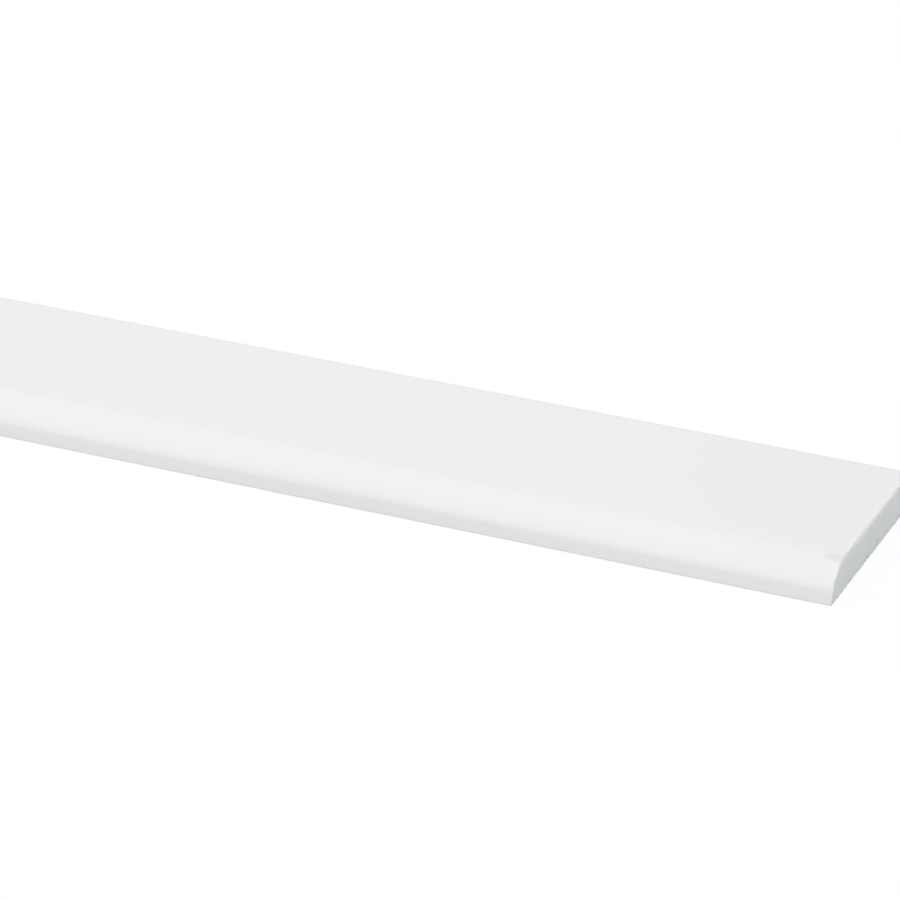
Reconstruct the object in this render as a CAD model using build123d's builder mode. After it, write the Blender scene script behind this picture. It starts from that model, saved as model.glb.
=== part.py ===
"""White cover strip: a flat lath that hides a joint, with rounded shoulders and square ends."""
import os

from build123d import *

# Driving dimensions in millimetres
strip_length = 2400.0
strip_width = 40.0
strip_thickness = 5.0
edge_height = 2.0  # how far up each long edge the shoulder's arc starts
shoulder_run = 5.0  # how far each shoulder's arc reaches in over the face, which it runs into smoothly
shoulder_corner_radius = 1.5  # eased corner where each shoulder meets the upright edge below it
back_arris_radius = 0.2  # eased corner where each long edge meets the back

# The flat of the face lies between the shoulders
half_width = strip_width / 2
half_flat = half_width - shoulder_run

# X runs along the strip, Y across it and Z up from its back, with the origin in the middle of the back
with BuildPart() as cover_strip:
    with BuildSketch(Plane.YZ) as section:
        with BuildLine() as outline:
            Polyline(
                (-half_width, edge_height),
                (-half_width, 0),
                (half_width, 0),
                (half_width, edge_height),
            )
            Line((-half_flat, strip_thickness), (half_flat, strip_thickness))
            TangentArc((half_flat, strip_thickness), (half_width, edge_height), tangent=(1, 0))
            TangentArc((-half_flat, strip_thickness), (-half_width, edge_height), tangent=(-1, 0))
        make_face()
        shoulder_corners = section.vertices().group_by(Axis.Y)[1]
        fillet(shoulder_corners, shoulder_corner_radius)
        back_corners = section.vertices().group_by(Axis.Y)[0]
        fillet(back_corners, back_arris_radius)
    extrude(amount=strip_length / 2, both=True)

os.makedirs("parts", exist_ok=True)
cover_strip.part.label = "cover_strip"
export_step(cover_strip.part, "parts/cover_strip.step")
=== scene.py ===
"""Looks of a white cover strip: a finely meshed section with sawn ends, two finishes and a plain studio."""
import logging
import math
from collections.abc import Sequence
from dataclasses import dataclass
from enum import Enum
from functools import cached_property
from typing import Any, Union

import bpy
import numpy as np
from mathutils import Matrix, Vector


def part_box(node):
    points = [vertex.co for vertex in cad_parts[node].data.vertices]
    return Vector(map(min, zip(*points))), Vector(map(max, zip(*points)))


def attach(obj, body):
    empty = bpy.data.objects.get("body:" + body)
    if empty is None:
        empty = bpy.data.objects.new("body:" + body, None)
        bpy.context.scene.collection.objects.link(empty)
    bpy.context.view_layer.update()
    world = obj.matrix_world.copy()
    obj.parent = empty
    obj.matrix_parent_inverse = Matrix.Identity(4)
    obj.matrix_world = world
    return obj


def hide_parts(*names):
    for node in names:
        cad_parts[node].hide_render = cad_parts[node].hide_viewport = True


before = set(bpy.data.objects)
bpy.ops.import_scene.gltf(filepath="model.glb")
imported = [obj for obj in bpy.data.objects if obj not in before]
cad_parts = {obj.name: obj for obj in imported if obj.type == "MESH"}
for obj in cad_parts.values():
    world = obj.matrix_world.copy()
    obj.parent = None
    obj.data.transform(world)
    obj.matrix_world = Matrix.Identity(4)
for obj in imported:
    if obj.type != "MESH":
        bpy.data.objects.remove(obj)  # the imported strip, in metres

MM = 0.001
NODE = "cover_strip"
BODY = "root"
PIECE = "strip_of_stock"

# What the sweep notes on the faces and on the points of the strip
ON_END = "on_end"
BELOW_SKIN = "below_skin"

# Past this, a point of a box with sides of one lies on its outside
BOX_SIDE = 0.4999

log = logging.getLogger(NODE)

Colour = tuple[float, float, float]
Paint = tuple[float, float, float, float]
Key = Union[int, str]
Inputs = Union[dict[Key, Any], Sequence[Any]]
WHITE: Paint = (1.0, 1.0, 1.0, 1.0)


class Kind(Enum):
    """Sockets that a node group may offer or give."""

    VALUE = "NodeSocketFloat"
    COUNT = "NodeSocketInt"
    VECTOR = "NodeSocketVector"
    COLOUR = "NodeSocketColor"
    MATERIAL = "NodeSocketMaterial"
    MESH = "NodeSocketGeometry"


class Grain(Enum):
    """How many finer layers are laid over the patches of a noise."""

    SOFT = 1.0
    ROUGH = 2.0
    FINE = 3.0


@dataclass(frozen=True)
class Field:
    """What a node puts out, mostly a value that varies over the points, combined by plain arithmetic."""

    graph: "Graph"
    socket: bpy.types.NodeSocket

    def __add__(self, other: "Operand") -> "Field":
        """Gives the sum of two values."""
        return self.graph.math("ADD", self, other)

    def __radd__(self, other: float) -> "Field":
        """Gives the sum of a number and this value."""
        return self.graph.math("ADD", other, self)

    def __sub__(self, other: "Operand") -> "Field":
        """Gives the difference of two values."""
        return self.graph.math("SUBTRACT", self, other)

    def __rsub__(self, other: float) -> "Field":
        """Gives a number less this value."""
        return self.graph.math("SUBTRACT", other, self)

    def __mul__(self, other: "Operand") -> "Field":
        """Gives the product of two values."""
        return self.graph.math("MULTIPLY", self, other)

    def __truediv__(self, other: "Operand") -> "Field":
        """Gives the quotient of two values."""
        return self.graph.math("DIVIDE", self, other)

    def __rtruediv__(self, other: float) -> "Field":
        """Gives a number over this value."""
        return self.graph.math("DIVIDE", other, self)

    def __pow__(self, exponent: float) -> "Field":
        """Gives a power of this value."""
        return self.graph.math("POWER", self, exponent)

    def __abs__(self) -> "Field":
        """Gives the size of this value without its sign."""
        return self.graph.math("ABSOLUTE", self)

    def sign(self) -> "Field":
        """Gives -1, 0 or 1."""
        return self.graph.math("SIGN", self)

    def sin(self) -> "Field":
        """Gives the sine of an angle in radians."""
        return self.graph.math("SINE", self)

    def cos(self) -> "Field":
        """Gives the cosine of an angle in radians."""
        return self.graph.math("COSINE", self)

    def root(self) -> "Field":
        """Gives the square root, taking anything below zero as zero."""
        return self.graph.math("SQRT", self.at_least(0.0))

    def at_least(self, floor: "Operand") -> "Field":
        """Gives the larger of two values."""
        return self.graph.math("MAXIMUM", self, floor)

    def at_most(self, ceiling: "Operand") -> "Field":
        """Gives the smaller of two values."""
        return self.graph.math("MINIMUM", self, ceiling)

    def as_share(self) -> "Field":
        """Gives this value, kept between 0 and 1."""
        return self.at_least(0.0).at_most(1.0)

    def above(self, limit: "Operand") -> "Field":
        """Gives 1 where this value passes a limit and 0 elsewhere."""
        return self.graph.math("GREATER_THAN", self, limit)

    def centred(self) -> "Field":
        """Gives how far a noise lies above one half, its mean."""
        return self - 0.5

    def hump(self, middle: float, reach: float) -> "Field":
        """Gives 1 at a middle value, falling smoothly to 0 at a reach to either side of it."""
        return (1.0 - ((self - middle) / reach) ** 2.0).at_least(0.0)


Operand = Union[Field, float]


class Graph:
    """A node tree that is being wired up, for a mesh or for a finish."""

    def __init__(self, tree: bpy.types.NodeTree) -> None:
        """Takes the tree to work on."""
        self.tree = tree

    @classmethod
    def group(cls, name: str, kind: str) -> "Graph":
        """Makes an empty node group of one of Blender's kinds of tree."""
        return cls(bpy.data.node_groups.new(name, kind))

    def node(self, kind: str, **settings: Any) -> bpy.types.Node:
        """Adds a node.

        Args:
            kind: Blender's name for the type of node.
            settings: properties of the node itself.

        Returns:
            The new node.
        """
        node = self.tree.nodes.new(kind)
        for name, value in settings.items():
            setattr(node, name, value)
        return node

    def fill(self, node: bpy.types.Node, inputs: Inputs) -> None:
        """Links a node's inputs to fields, or sets them to constants.

        Args:
            node: the node.
            inputs: the field or the constant for each input, by name or number, or in order.
        """
        for key, value in inputs.items() if isinstance(inputs, dict) else enumerate(inputs):
            if isinstance(value, Field):
                self.tree.links.new(value.socket, node.inputs[key])
            else:
                node.inputs[key].default_value = value

    def made(self, kind: str, inputs: Inputs = (), output: Key = 0, **settings: Any) -> Field:
        """Adds a node for one of its outputs.

        Args:
            kind: Blender's name for the type of node.
            inputs: the field or the constant for each input, by name or number, or in order.
            output: the name or the number of the output.
            settings: properties of the node itself.

        Returns:
            What the node puts out there.
        """
        node = self.node(kind, **settings)
        self.fill(node, inputs)
        return Field(self, node.outputs[output])

    def offer(self, name: str, kind: Kind) -> Field:
        """Adds a named input to the group.

        Args:
            name: the input's name.
            kind: the type of its socket.

        Returns:
            The field that carries what the user of the group sets there.
        """
        self.tree.interface.new_socket(name=name, in_out="INPUT", socket_type=kind.value)
        entry = self.tree.nodes.get("Group Input") or self.node("NodeGroupInput", name="Group Input")
        return Field(self, entry.outputs[name])

    def give(self, name: str, kind: Kind, value: Field) -> bpy.types.NodeTree:
        """Ends the group with its one output.

        Args:
            name: the output's name.
            kind: the type of its socket.
            value: what the group puts out there.

        Returns:
            The finished group.
        """
        self.tree.interface.new_socket(name=name, in_out="OUTPUT", socket_type=kind.value)
        self.fill(self.node("NodeGroupOutput"), {name: value})
        return self.tree

    def math(self, operation: str, *values: Operand) -> Field:
        """Gives the result of one of Blender's operations on one or two values."""
        return self.made("ShaderNodeMath", values, operation=operation)

    def vector(self, x: Operand, y: Operand, z: Operand) -> Field:
        """Joins three values into a vector."""
        return self.made("ShaderNodeCombineXYZ", (x, y, z))

    def parts(self, vector: Field) -> tuple[Field, Field, Field]:
        """Splits a vector or a colour into its three values."""
        first = self.made("ShaderNodeSeparateXYZ", (vector,))
        return tuple(Field(self, socket) for socket in first.socket.node.outputs)

    def scaled(self, vector: Field, factor: Operand) -> Field:
        """Gives a vector or a colour times a value."""
        return self.made("ShaderNodeVectorMath", {"Vector": vector, "Scale": factor}, operation="SCALE")

    def noise(self, at: Field, size: Operand, grain: Grain, output: Key = 0) -> Field:
        """Gives soft random patches about one half, mostly between a quarter and three quarters."""
        inputs = {"Vector": at, "Scale": 1.0 / size, "Detail": grain.value}
        return self.made("ShaderNodeTexNoise", inputs, output)

    def shaken(self, first: Field, second: Field, size: float, amount: float) -> tuple[Field, Field]:
        """Shifts the places on a plane to and fro, so that round shapes drawn there turn out torn."""
        shifts = self.parts(self.noise(self.vector(0.0, first, second), size, Grain.ROUGH, "Color"))
        return first + shifts[0].centred() * amount, second + shifts[1].centred() * amount

    def blend(self, share: Field, first: Union[Field, Paint], second: Union[Field, Paint]) -> Field:
        """Blends one colour into another.

        Args:
            share: how much of the second colour shows, from 0 to 1.
            first: the colour where the share is 0.
            second: the colour where the share is 1.

        Returns:
            The blended colour.
        """
        node = self.node("ShaderNodeMix", data_type="RGBA")
        numbers = {socket.identifier: number for number, socket in enumerate(node.inputs)}
        for name, value in (("Factor_Float", share), ("A_Color", first), ("B_Color", second)):
            self.fill(node, {numbers[name]: value})
        return Field(self, next(out for out in node.outputs if out.identifier == "Result_Color"))

    def effect(self, group: bpy.types.NodeTree, **values: Any) -> Field:
        """Places a shader node group, with underscores for the spaces in the names of its inputs."""
        inputs = {name.replace("_", " "): value for name, value in values.items()}
        return self.made("ShaderNodeGroup", inputs, node_tree=group)


@dataclass
class SurfaceEffects:
    """Shader node groups that both finishes of the strip share, each built when it is first used."""

    # Radius of the smallest pits, as a share of their spacing, and how much more the largest ones have
    least_pit: float = 0.1
    pit_spread: float = 0.3

    @cached_property
    def tone_drift(self) -> bpy.types.NodeTree:
        """Makes a colour that drifts a little lighter and darker in soft patches.

        Returns:
            The node group.
        """
        graph = Graph.group("tone_drift", "ShaderNodeTree")
        at = graph.offer("Vector", Kind.VECTOR)
        colour = graph.offer("Color", Kind.COLOUR)
        patch_size = graph.offer("Patch Size", Kind.VALUE)
        amount = graph.offer("Amount", Kind.VALUE)
        patches = graph.noise(at, patch_size, Grain.ROUGH) * 2.0 - 1.0
        return graph.give("Color", Kind.COLOUR, graph.scaled(colour, patches * amount + 1.0))

    @cached_property
    def drawn_lines(self) -> bpy.types.NodeTree:
        """Makes fine uneven lines, as a die or a saw draws them, along the first axis of a place.

        Returns:
            The node group.
        """
        graph = Graph.group("drawn_lines", "ShaderNodeTree")
        at = graph.offer("Vector", Kind.VECTOR)
        line_width = graph.offer("Line Width", Kind.VALUE)
        line_length = graph.offer("Line Length", Kind.VALUE)
        along, across, up = graph.parts(at)
        stretched = graph.vector(along * line_width / line_length, across, up)
        return graph.give("Height", Kind.VALUE, graph.noise(stretched, line_width, Grain.FINE))

    @cached_property
    def fine_pits(self) -> bpy.types.NodeTree:
        """Makes small round pits that are scattered at random.

        Returns:
            The node group.
        """
        graph = Graph.group("fine_pits", "ShaderNodeTree")
        at = graph.offer("Vector", Kind.VECTOR)
        spacing = graph.offer("Spacing", Kind.VALUE)
        pit_share = graph.offer("Pit Share", Kind.VALUE)
        cells = graph.node("ShaderNodeTexVoronoi")
        graph.fill(cells, {"Vector": at, "Scale": 1.0 / spacing})
        distance, colour = (Field(graph, cells.outputs[name]) for name in ("Distance", "Color"))
        # A cell's colour is also the place of its middle, so chance and size are drawn from it anew
        drawn = graph.made("ShaderNodeTexWhiteNoise", {"Vector": colour}, "Color", noise_dimensions="3D")
        chance, size, _ = graph.parts(drawn)
        bowl = 1.0 - distance / (size * self.pit_spread + self.least_pit)
        has_pit = 1.0 - chance.above(pit_share)
        return graph.give("Mask", Kind.VALUE, bowl.as_share() * has_pit)

    @cached_property
    def soft_stain_and_shade(self) -> bpy.types.NodeTree:
        """Makes a patch of colour, used for stains and for painted shade, that is strongest in the middle of
        an ellipsoid and fades out towards its surface.

        Returns:
            The node group.
        """
        graph = Graph.group("soft_stain_and_shade", "ShaderNodeTree")
        at = graph.offer("Vector", Kind.VECTOR)
        under = graph.offer("Color", Kind.COLOUR)
        patch_colour = graph.offer("Stain Color", Kind.COLOUR)
        middle = graph.offer("Middle", Kind.VECTOR)
        reach = graph.offer("Reach", Kind.VECTOR)
        strength = graph.offer("Strength", Kind.VALUE)
        spread = 0.0
        for here, centre, half in zip(graph.parts(at), graph.parts(middle), graph.parts(reach)):
            spread = ((here - centre) / half) ** 2.0 + spread
        share = (1.0 - spread).at_least(0.0) * strength
        return graph.give("Color", Kind.COLOUR, graph.blend(share, under, patch_colour))


@dataclass(frozen=True)
class Smear:
    """A soft patch of colour, as an ellipsoid that fades outwards, in metres, used for stains and for
    painted shade.
    """

    middle: tuple[float, float, float]
    reach: tuple[float, float, float]
    colour: Colour
    strength: float

    def lay_on(self, effects: SurfaceEffects, place: Field, under: Field) -> Field:
        """Lays the patch on a colour.

        Args:
            effects: the shared node groups.
            place: object coordinates.
            under: the colour without the patch.

        Returns:
            The colour with the patch.
        """
        return place.graph.effect(
            effects.soft_stain_and_shade,
            Vector=place,
            Color=under,
            Stain_Color=(*self.colour, 1.0),
            Middle=self.middle,
            Reach=self.reach,
            Strength=self.strength,
        )


@dataclass(frozen=True)
class Coat:
    """A finish that is being wired up, with what both finishes start from."""

    material: bpy.types.Material
    graph: Graph
    shader: bpy.types.Node
    place: Field
    tone: Field
    lines: Field
    pits: Field


@dataclass(frozen=True)
class Finish:
    """What both finishes have: a drifting tone, drawn lines and fine pits, with lengths in metres."""

    name: str
    colour: Colour
    roughness: float
    drift_size: float
    drift_amount: float
    line_width: float
    line_length: float
    line_gloss: float
    pit_spacing: float
    pit_share: float
    relief: float
    refraction: float = 1.46

    def _along_the_lines(self, place: Field) -> Field:
        """Gives coordinates whose first axis runs along the lines, here the object's own."""
        return place

    def _start(self, effects: SurfaceEffects) -> Coat:
        """Makes the material, with its tone, lines, pits and gloss.

        Args:
            effects: the shared node groups.

        Returns:
            The finish so far.
        """
        material = bpy.data.materials.new(self.name)
        material.use_nodes = True
        graph = Graph(material.node_tree)
        place = graph.made("ShaderNodeTexCoord", output="Object")
        tone = graph.effect(
            effects.tone_drift,
            Vector=place,
            Color=(*self.colour, 1.0),
            Patch_Size=self.drift_size,
            Amount=self.drift_amount,
        )
        lines = graph.effect(
            effects.drawn_lines,
            Vector=self._along_the_lines(place),
            Line_Width=self.line_width,
            Line_Length=self.line_length,
        )
        pits = graph.effect(
            effects.fine_pits,
            Vector=place,
            Spacing=self.pit_spacing,
            Pit_Share=self.pit_share,
        )
        shader = material.node_tree.nodes["Principled BSDF"]
        gloss = self.roughness + lines.centred() * self.line_gloss
        graph.fill(shader, {"IOR": self.refraction, "Roughness": gloss})
        return Coat(material, graph, shader, place, tone, lines, pits)

    def _complete(self, coat: Coat, colour: Field, height: Field) -> bpy.types.Material:
        """Gives the material its colour and its relief.

        Args:
            coat: the finish so far.
            colour: the colour of the surface.
            height: how high the surface stands, in units of the relief.

        Returns:
            The material.
        """
        relief = {"Strength": 1.0, "Distance": self.relief, "Height": height}
        normal = coat.graph.made("ShaderNodeBump", relief, "Normal")
        coat.graph.fill(coat.shader, {"Base Color": colour, "Normal": normal})
        return coat.material


@dataclass(frozen=True)
class SatinSkin(Finish):
    """The smooth outside of the strip: satin white with faint lines along its length."""

    name: str = "satin_white_skin"
    colour: Colour = (0.84, 0.84, 0.835)
    roughness: float = 0.52
    drift_size: float = 60.0 * MM
    drift_amount: float = 0.012
    line_width: float = 1.6 * MM
    line_length: float = 400.0 * MM
    line_gloss: float = 0.08
    pit_spacing: float = 9.0 * MM
    pit_share: float = 0.12
    relief: float = 0.004 * MM
    peel_size: float = 1.4 * MM

    def material(self, effects: SurfaceEffects, smears: Sequence[Smear]) -> bpy.types.Material:
        """Wires up the finish.

        Args:
            effects: the shared node groups.
            smears: the painted shade and the stains by the sawn end.

        Returns:
            The material.
        """
        coat = self._start(effects)
        stained_and_shaded = coat.tone
        for smear in smears:
            stained_and_shaded = smear.lay_on(effects, coat.place, stained_and_shaded)
        peel = coat.graph.noise(coat.place, self.peel_size, Grain.SOFT)
        return self._complete(coat, stained_and_shaded, coat.lines + peel - coat.pits)


@dataclass(frozen=True)
class Nick:
    """A small tear by the lower edge of the right end, where the saw broke out of the back, in metres."""

    from_front: float
    height: float
    reach: float
    depth: float
    # How dark the speck of painted shade in the tear is
    dirt_and_shade: float


@dataclass(frozen=True)
class SawCut:
    """What the saw leaves on an end: arcs scored in it, a worn upper edge and torn ones, in metres.

    A lane is how far either end is shifted in the noise of a mark, so that the two ends differ.
    """

    # Arcs about the middle of the blade, which is given across the strip and up
    blade_middle: tuple[float, float] = (-45.0 * MM, 115.0 * MM)
    score_pitch: float = 1.3 * MM
    score_depth: float = 0.03 * MM
    score_lane: float = 3.0
    score_wander: float = 2.2
    wander_size: float = 2.5 * MM
    wander_rise: float = 0.2

    # The upper edge, worn round
    worn_depth: float = 0.17 * MM
    worn_height: float = 0.28 * MM
    least_worn_height: float = 0.01 * MM
    worn_spread: float = 3.6
    worn_size: float = 1.1 * MM
    worn_lane: float = 4.0
    worn_fade: float = 3.0

    # Crumbs off all the edges
    ragged_depth: float = 0.3 * MM
    ragged_size: float = 0.9 * MM
    ragged_lane: float = 2.0
    ragged_from: float = 0.45
    ragged_rim: float = 0.3 * MM

    # The skin that is torn over the upper edge
    skin_reach: float = 0.55 * MM
    skin_spread: float = 1.6
    skin_blur: float = 0.5 * MM

    # How far from an end the points slide along with the marks on it
    slide_reach: float = 3.0 * MM

    # Nicks, with painted shade in them
    tear_size: float = 0.35 * MM
    tear_amount: float = 0.9 * MM
    nick_shade_colour: Colour = (0.42, 0.43, 0.42)
    nick_shade_depth: float = 1.0 * MM
    nicks: tuple[Nick, ...] = (
        Nick(from_front=8.3 * MM, height=0.2 * MM, reach=0.3 * MM, depth=0.15 * MM, dirt_and_shade=0.45),
        Nick(from_front=11.9 * MM, height=0.15 * MM, reach=0.3 * MM, depth=0.15 * MM, dirt_and_shade=0.3),
        Nick(from_front=15.7 * MM, height=0.2 * MM, reach=0.35 * MM, depth=0.3 * MM, dirt_and_shade=0.9),
        Nick(from_front=16.6 * MM, height=0.3 * MM, reach=0.4 * MM, depth=0.3 * MM, dirt_and_shade=1.0),
        Nick(from_front=21.5 * MM, height=0.7 * MM, reach=0.35 * MM, depth=0.3 * MM, dirt_and_shade=1.0),
        Nick(from_front=25.9 * MM, height=0.15 * MM, reach=0.4 * MM, depth=0.2 * MM, dirt_and_shade=0.5),
        Nick(from_front=29.1 * MM, height=0.25 * MM, reach=0.4 * MM, depth=0.3 * MM, dirt_and_shade=1.0),
        Nick(from_front=31.7 * MM, height=0.2 * MM, reach=0.4 * MM, depth=0.3 * MM, dirt_and_shade=0.9),
    )


@dataclass(frozen=True)
class SawnFace(Finish):
    """The bare inside of the stock where the saw has passed: duller and scored; its darker, cooler colour is
    partly the sawn surface and partly painted shade, as the end faces away from the lamp.
    """

    name: str = "sawn_white_end"
    # Darker and cooler than the skin's white: partly the sawn surface, partly painted shade for the end that
    # faces away from the lamp
    colour: Colour = (0.745, 0.778, 0.768)
    roughness: float = 0.62
    drift_size: float = 6.0 * MM
    drift_amount: float = 0.03
    line_width: float = 0.35 * MM
    line_length: float = 9.0 * MM
    line_gloss: float = 0.2
    pit_spacing: float = 0.45 * MM
    pit_share: float = 0.3
    relief: float = 0.012 * MM
    line_shade: float = 0.09
    line_lean: float = math.radians(68.0)
    pit_shade: float = 0.1

    def material(
        self, effects: SurfaceEffects, cut: SawCut, skin: SatinSkin, smears: Sequence[Smear]
    ) -> bpy.types.Material:
        """Wires up the finish.

        Args:
            effects: the shared node groups.
            cut: the saw's marks in the mesh.
            skin: the finish that is torn over the upper edge.
            smears: the painted shade in the nicks.

        Returns:
            The material.
        """
        coat = self._start(effects)
        graph = coat.graph
        shade = 1.0 - coat.pits * self.pit_shade + coat.lines.centred() * self.line_shade
        below_skin = graph.made("ShaderNodeAttribute", output="Fac", attribute_name=BELOW_SKIN)
        bared = (below_skin / cut.skin_blur + 0.5).as_share()
        # The end's darker colour is partly painted shade; where the skin is torn over the upper edge, the
        # skin's white shows instead
        shaded = graph.blend(bared, (*skin.colour, 1.0), graph.scaled(coat.tone, shade))
        along, across, up = graph.parts(coat.place)
        torn_place = graph.vector(along, *graph.shaken(across, up, cut.tear_size, cut.tear_amount))
        for smear in smears:
            shaded = smear.lay_on(effects, torn_place, shaded)
        return self._complete(coat, shaded, coat.lines - coat.pits)

    def _along_the_lines(self, place: Field) -> Field:
        """Turns object coordinates so that the first axis runs the way the saw's teeth went.

        Args:
            place: object coordinates.

        Returns:
            The turned coordinates.
        """
        along, across, up = place.graph.parts(place)
        toothways = across * math.cos(self.line_lean) + up * math.sin(self.line_lean)
        feedways = up * math.cos(self.line_lean) - across * math.sin(self.line_lean)
        return place.graph.vector(toothways, feedways, along)


@dataclass(frozen=True)
class Section:
    """The strip's cross-section as the CAD model has it, in metres."""

    width: float
    thickness: float
    edge_height: float = 2.0 * MM
    shoulder_run: float = 5.0 * MM
    corner_radius: float = 1.5 * MM
    arris_radius: float = 0.2 * MM

    @property
    def shoulder_radius(self) -> float:
        """Gives the radius of the arc that runs smoothly into the face."""
        drop = self.thickness - self.edge_height
        return (self.shoulder_run**2 + drop**2) / (2 * drop)

    @property
    def corner_slope(self) -> float:
        """Gives the slope at which the shoulder's arc passes into the eased corner below it."""
        run = self.shoulder_run - self.corner_radius
        return math.asin(run / (self.shoulder_radius - self.corner_radius))


@dataclass(frozen=True)
class Dent:
    """A short dent that runs from the right end along the start of the front shoulder, in metres."""

    from_front: float = 3.75 * MM
    length: float = 2.6 * MM
    half_width: float = 0.6 * MM
    depth: float = 0.06 * MM


class Facing(Enum):
    """Rows of the bake map, by the way that the faces of the skin look."""

    FACE = 0
    BACK = 1
    FRONT_EDGE = 2
    REAR_EDGE = 3


@dataclass
class BakeMap:
    """A map of the surface, in metres: finest on the sawn ends, fine beside them, coarser between."""

    length: float
    section: Section
    side: float = 512.0 * MM
    gutter: float = 2.0 * MM
    zone_length: float = 50.0 * MM
    middle_lengths: int = 3
    level_from: float = 0.4
    line_slack: float = 0.01 * MM

    @property
    def row_heights(self) -> np.ndarray:
        """Gives the height of each row of a length, in the order of Facing."""
        return np.array([self.section.width] * 2 + [self.section.thickness] * 2)

    @property
    def full_height(self) -> float:
        """Gives the height of all the rows of a length, each with its gutter."""
        return float((self.row_heights + self.gutter).sum())

    @property
    def zone_bottom(self) -> float:
        """Gives how high on the map the lengths between the ends reach, one above the other."""
        return self.middle_lengths * self.full_height

    @property
    def zone_scale(self) -> float:
        """Gives how much larger the lengths by the ends are drawn, to fill the room above the others."""
        return (self.side - self.zone_bottom) / self.full_height

    def lay_out(self, mesh: bpy.types.Mesh, sawn: int) -> None:
        """Adds the map to the strip's mesh.

        Args:
            mesh: the strip's mesh.
            sawn: which of the mesh's materials the ends have.
        """
        places = self._read(mesh.vertices, "co", np.float32, 3)
        normals = self._read(mesh.polygons, "normal", np.float32, 3)
        middles = self._read(mesh.polygons, "center", np.float32, 3)
        finishes = self._read(mesh.polygons, "material_index", np.int32)
        corner_counts = self._read(mesh.polygons, "loop_total", np.int32)
        corners = places[self._read(mesh.loops, "vertex_index", np.int32)]
        corner_faces = np.repeat(np.arange(len(corner_counts)), corner_counts)

        cuts = self._cuts(places)
        part = np.searchsorted(cuts[1:-1], middles[:, 0])
        facing = self._facing(normals)
        spots = self._skin_spots(corners, cuts, part[corner_faces], facing[corner_faces])
        on_end = (finishes == sawn)[corner_faces]
        spots[on_end] = self._end_spots(corners[on_end], cuts)
        layer = mesh.uv_layers.new(name="OFBake")
        layer.uv.foreach_set("vector", (spots / self.side).ravel())

    @staticmethod
    def _read(items: bpy.types.bpy_prop_collection, name: str, kind: type, width: int = 1) -> np.ndarray:
        """Reads one property of all the points, faces or corners of a mesh.

        Args:
            items: the points, faces or corners.
            name: the property.
            kind: the type of its numbers.
            width: how many numbers it has.

        Returns:
            One number or one row of numbers for each item.
        """
        values = np.empty(len(items) * width, dtype=kind)
        items.foreach_get(name, values)
        return values.reshape(-1, width) if width > 1 else values

    def _cuts(self, places: np.ndarray) -> np.ndarray:
        """Chooses the rings of points at which the map is cut across.

        Args:
            places: the points of the mesh.

        Returns:
            Where each length starts along the strip, and where the last one stops.
        """
        on_middle_line = (np.abs(places[:, 1:]) < self.line_slack).all(axis=1)
        rings = places[on_middle_line, 0]
        end = self.length / 2
        wanted = np.linspace(self.zone_length - end, end - self.zone_length, self.middle_lengths + 1)
        nearest = np.abs(rings[:, None] - wanted).argmin(axis=0)
        return np.array([-end, *rings[nearest], end])

    def _facing(self, normals: np.ndarray) -> np.ndarray:
        """Sorts the faces of the skin into the rows of the map.

        Args:
            normals: the way each face looks.

        Returns:
            The value of a Facing for each face.
        """
        facing = np.where(normals[:, 1] < 0, Facing.FRONT_EDGE.value, Facing.REAR_EDGE.value)
        facing[normals[:, 2] > self.level_from] = Facing.FACE.value
        facing[normals[:, 2] < -self.level_from] = Facing.BACK.value
        return facing

    def _skin_spots(
        self, places: np.ndarray, cuts: np.ndarray, part: np.ndarray, facing: np.ndarray
    ) -> np.ndarray:
        """Finds where each corner of a face of the skin lies on the map, as seen from outside.

        Args:
            places: the corners' points.
            cuts: where each length starts along the strip, and where the last one stops.
            part: which length each corner's face belongs to.
            facing: which row each corner's face belongs to.

        Returns:
            Two coordinates for each corner, in metres of map.
        """
        heights = self.row_heights
        row_starts = np.cumsum(heights + self.gutter) - heights - self.gutter / 2
        across = places[:, 1] + self.section.width / 2
        offset = np.where(facing < Facing.FRONT_EDGE.value, across, places[:, 2])
        turned = (facing == Facing.BACK.value) | (facing == Facing.REAR_EDGE.value)
        offset = np.where(turned, heights[facing] - offset, offset)

        lengths = np.diff(cuts)
        by_ends = [0, -1]
        along_scale = np.full(len(lengths), (self.side - 2 * self.gutter) / lengths[1:-1].max())
        along_scale[by_ends] = self.zone_scale
        across_scale = np.ones(len(lengths))
        across_scale[by_ends] = self.zone_scale
        left = np.full(len(lengths), self.gutter)
        left[-1] += lengths[0] * self.zone_scale + self.gutter
        bottom = (np.arange(len(lengths)) - 1) * self.full_height
        bottom[by_ends] = self.zone_bottom
        u = left[part] + (places[:, 0] - cuts[part]) * along_scale[part]
        v = bottom[part] + (row_starts[facing] + offset) * across_scale[part]
        return np.stack([u, v], axis=1)

    def _end_spots(self, places: np.ndarray, cuts: np.ndarray) -> np.ndarray:
        """Finds where each corner of a sawn face lies on the map, beside the lengths by the ends.

        Args:
            places: the corners' points.
            cuts: where each length starts along the strip, and where the last one stops.

        Returns:
            Two coordinates for each corner, in metres of map.
        """
        lengths = np.diff(cuts)
        left = (lengths[0] + lengths[-1]) * self.zone_scale + 3 * self.gutter
        scale = (self.side - left - self.gutter) / self.section.width
        end = np.sign(places[:, 0])
        across = places[:, 1] * end + self.section.width / 2
        up = places[:, 2] + (end > 0) * (self.section.thickness + self.gutter)
        return np.stack([left + across * scale, self.zone_bottom + self.gutter + up * scale], axis=1)


@dataclass(frozen=True)
class Spot:
    """Where a point lies on the smooth strip, in metres, and what else the marks on it depend on.

    The end is minus 1 on the left half and 1 on the right one. The top is the face or shoulder above the
    point, and its levelness falls from 1 where it is level to 0 where it is upright. The rim is the outline
    of the section.
    """

    graph: Graph
    seed: Field
    end: Field
    from_end: Field
    half_width: Field
    y: Field
    z: Field
    to_top: Field
    to_rim: Field
    levelness: Field


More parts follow.
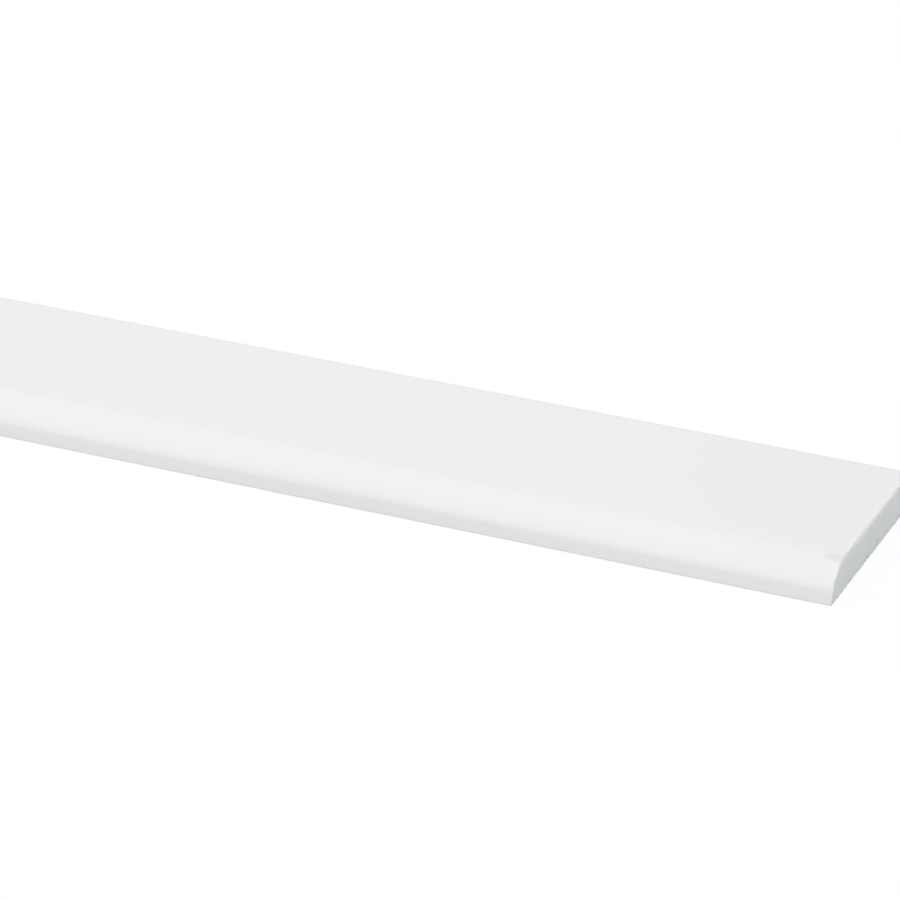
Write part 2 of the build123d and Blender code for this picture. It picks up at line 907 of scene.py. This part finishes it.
@dataclass
class CoverStrip:
    """The strip itself: one length of stock, swept along X, with its back on the floor."""

    length: float
    section: Section
    cut: SawCut = SawCut()
    dent: Dent = Dent()
    skin: SatinSkin = SatinSkin()
    sawn: SawnFace = SawnFace()
    rings: int = 101
    columns: int = 321
    rows: int = 31
    ring_power: float = 3.0
    ring_crowding: float = 0.997
    row_crowding: float = 0.9
    flat_share: float = 0.72
    seed: float = 7.0
    crease_angle: float = math.radians(35.0)

    def build(self, effects: SurfaceEffects) -> bpy.types.Object:
        """Makes the dressed strip.

        Args:
            effects: the shared node groups of the finishes.

        Returns:
            The finished piece, as a plain mesh at the origin.
        """
        source = bpy.data.objects.new("strip_source", bpy.data.meshes.new("strip_source"))
        bpy.context.scene.collection.objects.link(source)
        modifier = source.modifiers.new("sweep", "NODES")
        modifier.node_group = self._sweep_tree()
        self._set_inputs(modifier, effects)
        evaluated = source.evaluated_get(bpy.context.evaluated_depsgraph_get())
        mesh = bpy.data.meshes.new_from_object(evaluated)
        mesh.name = PIECE
        bpy.data.objects.remove(source)
        mesh.attributes.remove(mesh.attributes[ON_END])
        mesh.shade_smooth()
        mesh.set_sharp_from_angle(angle=self.crease_angle)
        BakeMap(self.length, self.section).lay_out(mesh, mesh.materials.find(self.sawn.name))
        strip = bpy.data.objects.new(PIECE, mesh)
        bpy.context.scene.collection.objects.link(strip)
        return strip

    def _sizes(self) -> dict[str, float]:
        """Gives the sizes, the share of the flat and the seed by the names of the tree's inputs.

        Returns:
            The value for each input.
        """
        return {
            "Length": self.length,
            "Width": self.section.width,
            "Thickness": self.section.thickness,
            "Shoulder Run": self.section.shoulder_run,
            "Shoulder Radius": self.section.shoulder_radius,
            "Corner Radius": self.section.corner_radius,
            "Corner Slope": self.section.corner_slope,
            "Arris Radius": self.section.arris_radius,
            "Flat Share": self.flat_share,
            "Seed": self.seed,
        }

    def _counts(self) -> dict[str, int]:
        """Gives how many points lie along, across and up, by the names of the tree's inputs."""
        return {"Rings": self.rings, "Columns": self.columns, "Rows": self.rows}

    def _set_inputs(self, modifier: bpy.types.NodesModifier, effects: SurfaceEffects) -> None:
        """Sets the sizes, counts and finishes on the tree's named inputs.

        Args:
            modifier: the modifier that carries the tree.
            effects: the shared node groups of the finishes.
        """
        values = {
            **self._sizes(),
            **self._counts(),
            "Skin": self.skin.material(effects, self._smears()),
            "Sawn": self.sawn.material(effects, self.cut, self.skin, self._nick_shade()),
        }
        for item in modifier.node_group.interface.items_tree:
            if item.in_out == "INPUT":
                modifier[item.identifier] = values[item.name]

    def _smears(self) -> list[Smear]:
        """Places the patches at the right end: painted shade that greys the face, a tint by the dent, and
        dirt in it.

        Returns:
            The patches, in the order they are laid on.
        """
        end = self.length / 2
        dent = self.dent.from_front - self.section.width / 2
        face = self.section.thickness
        # Painted shade: the face darker towards the back of the right end, where the light falls off
        falloff_shade = Smear(
            middle=(end, 12.0 * MM, face),
            reach=(34.0 * MM, 40.0 * MM, 8.0 * MM),
            colour=(0.80, 0.80, 0.795),
            strength=0.6,
        )
        tint = Smear(
            middle=(end, dent - 1.4 * MM, face),
            reach=(2.2 * MM, 1.5 * MM, 3.0 * MM),
            colour=(0.85, 0.84, 0.80),
            strength=0.4,
        )
        dirt_and_shade = Smear(
            middle=(end - 0.5 * MM, dent, face),
            reach=(2.3 * MM, 1.1 * MM, 3.0 * MM),
            colour=(0.70, 0.70, 0.67),
            strength=0.65,
        )
        return [falloff_shade, tint, dirt_and_shade]

    def _nick_shade(self) -> list[Smear]:
        """Places painted shade, a dark speck, in each nick of the right end.

        Returns:
            The specks.
        """
        return [
            Smear(
                middle=(self.length / 2, nick.from_front - self.section.width / 2, nick.height),
                reach=(self.cut.nick_shade_depth, nick.reach, nick.reach),
                colour=self.cut.nick_shade_colour,
                strength=nick.dirt_and_shade,
            )
            for nick in self.cut.nicks
        ]

    def _sweep_tree(self) -> bpy.types.NodeTree:
        """Builds the rule that turns a box of points into the strip.

        Returns:
            The geometry node tree.
        """
        graph = Graph.group("strip_sweep", "GeometryNodeTree")
        sizes = {name: graph.offer(name, Kind.VALUE) for name in self._sizes()}
        counts = [graph.offer(name, Kind.COUNT) for name in self._counts()]
        finishes = [graph.offer(name, Kind.MATERIAL) for name in ("Skin", "Sawn")]

        result = graph.made("GeometryNodeMeshCube", ((1.0, 1.0, 1.0), *counts))
        place = graph.parts(graph.made("GeometryNodeInputPosition"))
        swept, below_skin = self._swept_place(graph, place, sizes)
        is_end = abs(place[0]).above(BOX_SIDE)
        for name, domain, value in ((ON_END, "FACE", is_end), (BELOW_SKIN, "POINT", below_skin)):
            mark = {"Geometry": result, "Name": name, "Value": value}
            result = graph.made("GeometryNodeStoreNamedAttribute", mark, data_type="FLOAT", domain=domain)
        result = graph.made("GeometryNodeSetPosition", {"Geometry": result, "Position": swept})

        result = graph.made("GeometryNodeRealizeInstances", {"Geometry": result})
        on_end = graph.made("GeometryNodeInputNamedAttribute", {"Name": ON_END}, data_type="FLOAT")
        for finish, chosen in zip(finishes, (True, on_end.above(0.5))):
            dressing = {"Geometry": result, "Selection": chosen, "Material": finish}
            result = graph.made("GeometryNodeSetMaterial", dressing)
        return graph.give("Mesh", Kind.MESH, result)

    def _spot(self, graph: Graph, box: tuple[Field, Field, Field], sizes: dict[str, Field]) -> Spot:
        """Finds the place on the smooth strip of each point of a box with sides of one.

        Args:
            graph: the tree.
            box: the point's place in the box, each value between minus a half and a half.
            sizes: the tree's named sizes.

        Returns:
            The place on the strip.
        """
        along, across, up = box
        # Rings crowd together towards both ends, where the saw's marks are
        to_middle = 1.0 - abs(along) * 2.0
        crowded = to_middle**self.ring_power * self.ring_crowding + to_middle * (1.0 - self.ring_crowding)

        # Across the strip, even steps over the flat of the face, then even turns round shoulder and corner
        half_width = sizes["Width"] / 2.0
        half_flat = half_width - sizes["Shoulder Run"]
        share = abs(across) * 2.0
        flat_share = sizes["Flat Share"]
        slope = (share - flat_share).at_least(0.0) / (1.0 - flat_share) * (math.pi / 2)
        meeting = sizes["Corner Slope"]
        on_arc = slope.at_most(meeting)
        on_corner = slope.at_least(meeting)
        arc_radius = sizes["Shoulder Radius"]
        corner_radius = sizes["Corner Radius"]
        outward = half_flat * (share / flat_share).at_most(1.0) + arc_radius * on_arc.sin()
        outward = outward + corner_radius * (on_corner.sin() - meeting.sin())
        top = sizes["Thickness"] - arc_radius * (1.0 - on_arc.cos())
        top = top + corner_radius * (on_corner.cos() - meeting.cos())
        arris_radius = sizes["Arris Radius"]
        into_arris = (arris_radius - (half_width - outward)).at_least(0.0)
        bottom = arris_radius - (arris_radius * arris_radius - into_arris * into_arris).root()

        # Rows crowd together towards the face and the back
        share_up = up + 0.5
        raised = share_up - (share_up * math.tau).sin() * (self.row_crowding / math.tau)
        to_bottom = raised * (top - bottom)
        z = bottom + to_bottom
        levelness = slope.cos()
        to_top = (top - z) * levelness
        return Spot(
            graph=graph,
            seed=sizes["Seed"],
            end=along.sign(),
            from_end=sizes["Length"] / 2.0 * crowded,
            half_width=half_width,
            y=outward * across.sign(),
            z=z,
            to_top=to_top,
            to_rim=to_top.at_most(to_bottom).at_most(half_width - outward),
            levelness=levelness,
        )

    def _swept_place(
        self, graph: Graph, box: tuple[Field, Field, Field], sizes: dict[str, Field]
    ) -> tuple[Field, Field]:
        """Moves each point of a box with sides of one to its place on the strip, with the marks there.

        Args:
            graph: the tree.
            box: the point's place in the box, each value between minus a half and a half.
            sizes: the tree's named sizes.

        Returns:
            The place on the strip, and how far below the torn edge of the skin it lies, in metres.
        """
        along, _, up = box
        spot = self._spot(graph, box, sizes)
        is_end = abs(along).above(BOX_SIDE)
        is_right = along.above(0.0)
        unevenness = self._unevenness(spot)
        depth = self._scored(spot) * is_end
        depth = depth + self._worn(spot, unevenness)
        depth = depth + self._ragged(spot)
        depth = depth + self._nicked(spot) * is_right * is_end
        nearness = (1.0 - spot.from_end / self.cut.slide_reach).at_least(0.0)
        x = spot.end * (sizes["Length"] / 2.0 - spot.from_end - depth * nearness)

        groove = self._dented(spot) * is_right * up.above(BOX_SIDE)
        skin_reach = (unevenness * self.cut.skin_spread + 1.0) * self.cut.skin_reach * spot.levelness
        return graph.vector(x, spot.y, spot.z - groove), spot.to_top - skin_reach

    def _scored(self, spot: Spot) -> Field:
        """Scores the end in arcs about the middle of the saw's blade.

        Args:
            spot: the place on the smooth strip.

        Returns:
            How far the end lies back from the full length.
        """
        cut = self.cut
        blade_y, blade_z = cut.blade_middle
        from_blade = ((spot.y - blade_y) ** 2.0 + (spot.z - blade_z) ** 2.0).root()
        lane = spot.end * cut.score_lane + spot.seed
        place = spot.graph.vector(from_blade, spot.z * cut.wander_rise, lane)
        wander = spot.graph.noise(place, cut.wander_size, Grain.SOFT)
        phase = from_blade * (math.tau / cut.score_pitch) + wander * (cut.score_wander * math.pi)
        return (phase.sin() + 1.0) * (cut.score_depth / 2)

    def _unevenness(self, spot: Spot) -> Field:
        """Tells how an end's upper edge is worn more here and less there, as values about 0."""
        place = spot.graph.vector(spot.y, spot.end * self.cut.worn_lane, spot.seed)
        return spot.graph.noise(place, self.cut.worn_size, Grain.ROUGH) * 2.0 - 1.0

    def _worn(self, spot: Spot, unevenness: Field) -> Field:
        """Rounds the upper edge of the end over unevenly.

        Args:
            spot: the place on the smooth strip.
            unevenness: how the wear comes and goes along the edge.

        Returns:
            How far the end lies back from the full length.
        """
        cut = self.cut
        wear = (unevenness * cut.worn_spread + 1.0).at_least(0.0) * spot.levelness**cut.worn_fade
        inside = (1.0 - spot.to_top / (wear * cut.worn_height + cut.least_worn_height)).at_least(0.0)
        return wear * cut.worn_depth * (1.0 - (1.0 - inside * inside).root())

    def _ragged(self, spot: Spot) -> Field:
        """Crumbles the edges round the end here and there.

        Args:
            spot: the place on the smooth strip.

        Returns:
            How far the end lies back from the full length.
        """
        cut = self.cut
        place = spot.graph.vector(spot.y, spot.z, spot.end * cut.ragged_lane + spot.seed)
        crumbs = spot.graph.noise(place, cut.ragged_size, Grain.ROUGH)
        bite = ((crumbs - cut.ragged_from) / (1.0 - cut.ragged_from)).at_least(0.0)
        fade = (1.0 - spot.to_rim / cut.ragged_rim).at_least(0.0)
        return bite * fade * cut.ragged_depth

    def _nicked(self, spot: Spot) -> Field:
        """Tears the small nicks by the lower edge of an end.

        Args:
            spot: the place on the smooth strip.

        Returns:
            How far the end lies back from the full length.
        """
        torn_y, torn_z = spot.graph.shaken(spot.y, spot.z, self.cut.tear_size, self.cut.tear_amount)
        from_front = torn_y + spot.half_width
        torn = 0.0
        for nick in self.cut.nicks:
            bowl = from_front.hump(nick.from_front, nick.reach) * torn_z.hump(nick.height, nick.reach)
            torn = bowl * nick.depth + torn
        return torn

    def _dented(self, spot: Spot) -> Field:
        """Presses the dent into the shoulder.

        Args:
            spot: the place on the smooth strip.

        Returns:
            How far the face lies below its smooth shape.
        """
        dent = self.dent
        from_front = spot.y + spot.half_width
        fade = (1.0 - spot.from_end / dent.length).at_least(0.0).root()
        return from_front.hump(dent.from_front, dent.half_width) * fade * dent.depth


@dataclass
class Camera:
    """The camera at the photograph's angle, placed from the front lower corner of the right end."""

    corner: tuple[float, float, float]
    azimuth: float = math.radians(19.221)
    elevation: float = math.radians(20.723)
    roll: float = math.radians(4.182)
    distance: float = 461.62 * MM
    aim_left: float = 45.362 * MM
    aim_up: float = 18.653 * MM
    lens: float = 155.17
    nearest: float = 10.0 * MM
    farthest: float = 500.0

    def build(self) -> bpy.types.Object:
        """Makes the camera and shows the scene through it.

        Returns:
            The camera.
        """
        level = math.cos(self.elevation)
        backward = Vector(
            (math.sin(self.azimuth) * level, -math.cos(self.azimuth) * level, math.sin(self.elevation))
        )
        level_right = Vector((math.cos(self.azimuth), math.sin(self.azimuth), 0.0))
        level_up = backward.cross(level_right)
        right = math.cos(self.roll) * level_right + math.sin(self.roll) * level_up
        upward = backward.cross(right)
        place = Vector(self.corner) + self.distance * backward - self.aim_left * right + self.aim_up * upward
        data = bpy.data.cameras.new("photo_camera")
        data.lens = self.lens
        data.clip_start = self.nearest
        data.clip_end = self.farthest
        camera = bpy.data.objects.new("photo_camera", data)
        turn = Matrix((right, upward, backward)).transposed()
        camera.matrix_world = Matrix.Translation(place) @ turn.to_4x4()
        bpy.context.scene.collection.objects.link(camera)
        bpy.context.scene.camera = camera
        return camera


@dataclass
class Studio:
    """A white floor under an even white sky, with one soft lamp from the front left."""

    sky_strength: float = 0.776
    key_strength: float = 1.02
    key_towards: tuple[float, float, float] = (0.5, 0.58, -0.75)
    key_softness: float = math.radians(120.0)
    floor_half_side: float = 60.0
    floor_drop: float = 0.05 * MM
    floor_bounce: float = 0.68
    floor_white: float = 1.0
    floor_shadow: float = 0.06

    def build(self) -> None:
        """Makes the sky, the lamp and the floor."""
        bpy.context.scene.view_settings.view_transform = "Standard"
        self._sky()
        self._key()
        self._floor()

    @staticmethod
    def _is_seen(graph: Graph) -> Field:
        """Tells rays that show the background from rays that only bring light.

        Args:
            graph: the nodes of the sky or of the floor's material.

        Returns:
            1 for rays of the camera, of a reflection or through something clear, else 0.
        """
        path = graph.node("ShaderNodeLightPath")
        camera, glossy, clear = (
            Field(graph, path.outputs[f"Is {ray} Ray"]) for ray in ("Camera", "Glossy", "Transmission")
        )
        return camera.at_least(glossy).at_least(clear)

    def _sky(self) -> None:
        """Makes an even sky that looks white and lights at a plain level."""
        sky = bpy.data.worlds.new("white_sky")
        sky.use_nodes = True
        graph = Graph(sky.node_tree)
        strength = self._is_seen(graph) * (1.0 - self.sky_strength) + self.sky_strength
        graph.fill(sky.node_tree.nodes["Background"], {"Color": WHITE, "Strength": strength})
        bpy.context.scene.world = sky

    def _key(self) -> None:
        """Hangs the lamp: far off, wide and soft."""
        data = bpy.data.lights.new("soft_key", "SUN")
        data.energy = self.key_strength
        data.angle = self.key_softness
        lamp = bpy.data.objects.new("soft_key", data)
        lamp.rotation_euler = Vector(self.key_towards).to_track_quat("-Z", "Y").to_euler()
        bpy.context.scene.collection.objects.link(lamp)

    def _floor(self) -> None:
        """Lays the floor, which looks white and keeps a faint shadow."""
        half = self.floor_half_side
        corners = [(-half, -half), (half, -half), (half, half), (-half, half)]
        mesh = bpy.data.meshes.new("studio_floor")
        mesh.from_pydata([(x, y, -self.floor_drop) for x, y in corners], [], [(0, 1, 2, 3)])
        mesh.materials.append(self._floor_material())
        floor = bpy.data.objects.new("studio_floor", mesh)
        bpy.context.scene.collection.objects.link(floor)

    def _floor_material(self) -> bpy.types.Material:
        """Makes the floor's paper: white where it is seen, a plain pale bounce where it only lights.

        Returns:
            The material.
        """
        paper = bpy.data.materials.new("white_paper")
        paper.use_nodes = True
        nodes = paper.node_tree.nodes
        nodes.remove(nodes["Principled BSDF"])
        graph = Graph(paper.node_tree)
        glow = graph.made("ShaderNodeEmission", {"Strength": self.floor_white})
        shaded = graph.made("ShaderNodeBsdfDiffuse", {"Color": WHITE})
        bounce = graph.made("ShaderNodeBsdfDiffuse", {"Color": (self.floor_bounce,) * 3 + (1.0,)})
        seen = graph.made("ShaderNodeMixShader", (self.floor_shadow, glow, shaded))
        whole = graph.made("ShaderNodeMixShader", (self._is_seen(graph), bounce, seen))
        graph.fill(nodes["Material Output"], {"Surface": whole})
        return paper


def main() -> None:
    """Builds the strip, then the studio round it, and logs the piece's points and faces and the camera's
    lens.
    """
    logging.basicConfig(level=logging.INFO, format="%(name)s: %(message)s")
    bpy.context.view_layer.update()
    low, high = (Vector(corner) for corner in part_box(NODE))
    size = high - low

    strip = CoverStrip(length=size.x, section=Section(width=size.y, thickness=size.z))
    piece = strip.build(SurfaceEffects())
    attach(piece, BODY)
    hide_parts(NODE)
    log.info("%s: %d points, %d faces", piece.name, len(piece.data.vertices), len(piece.data.polygons))

    Studio().build()
    camera = Camera(corner=(high.x, low.y, low.z)).build()
    log.info("%s: %.0f mm lens", camera.name, camera.data.lens)


if __name__ == "__main__":
    main()
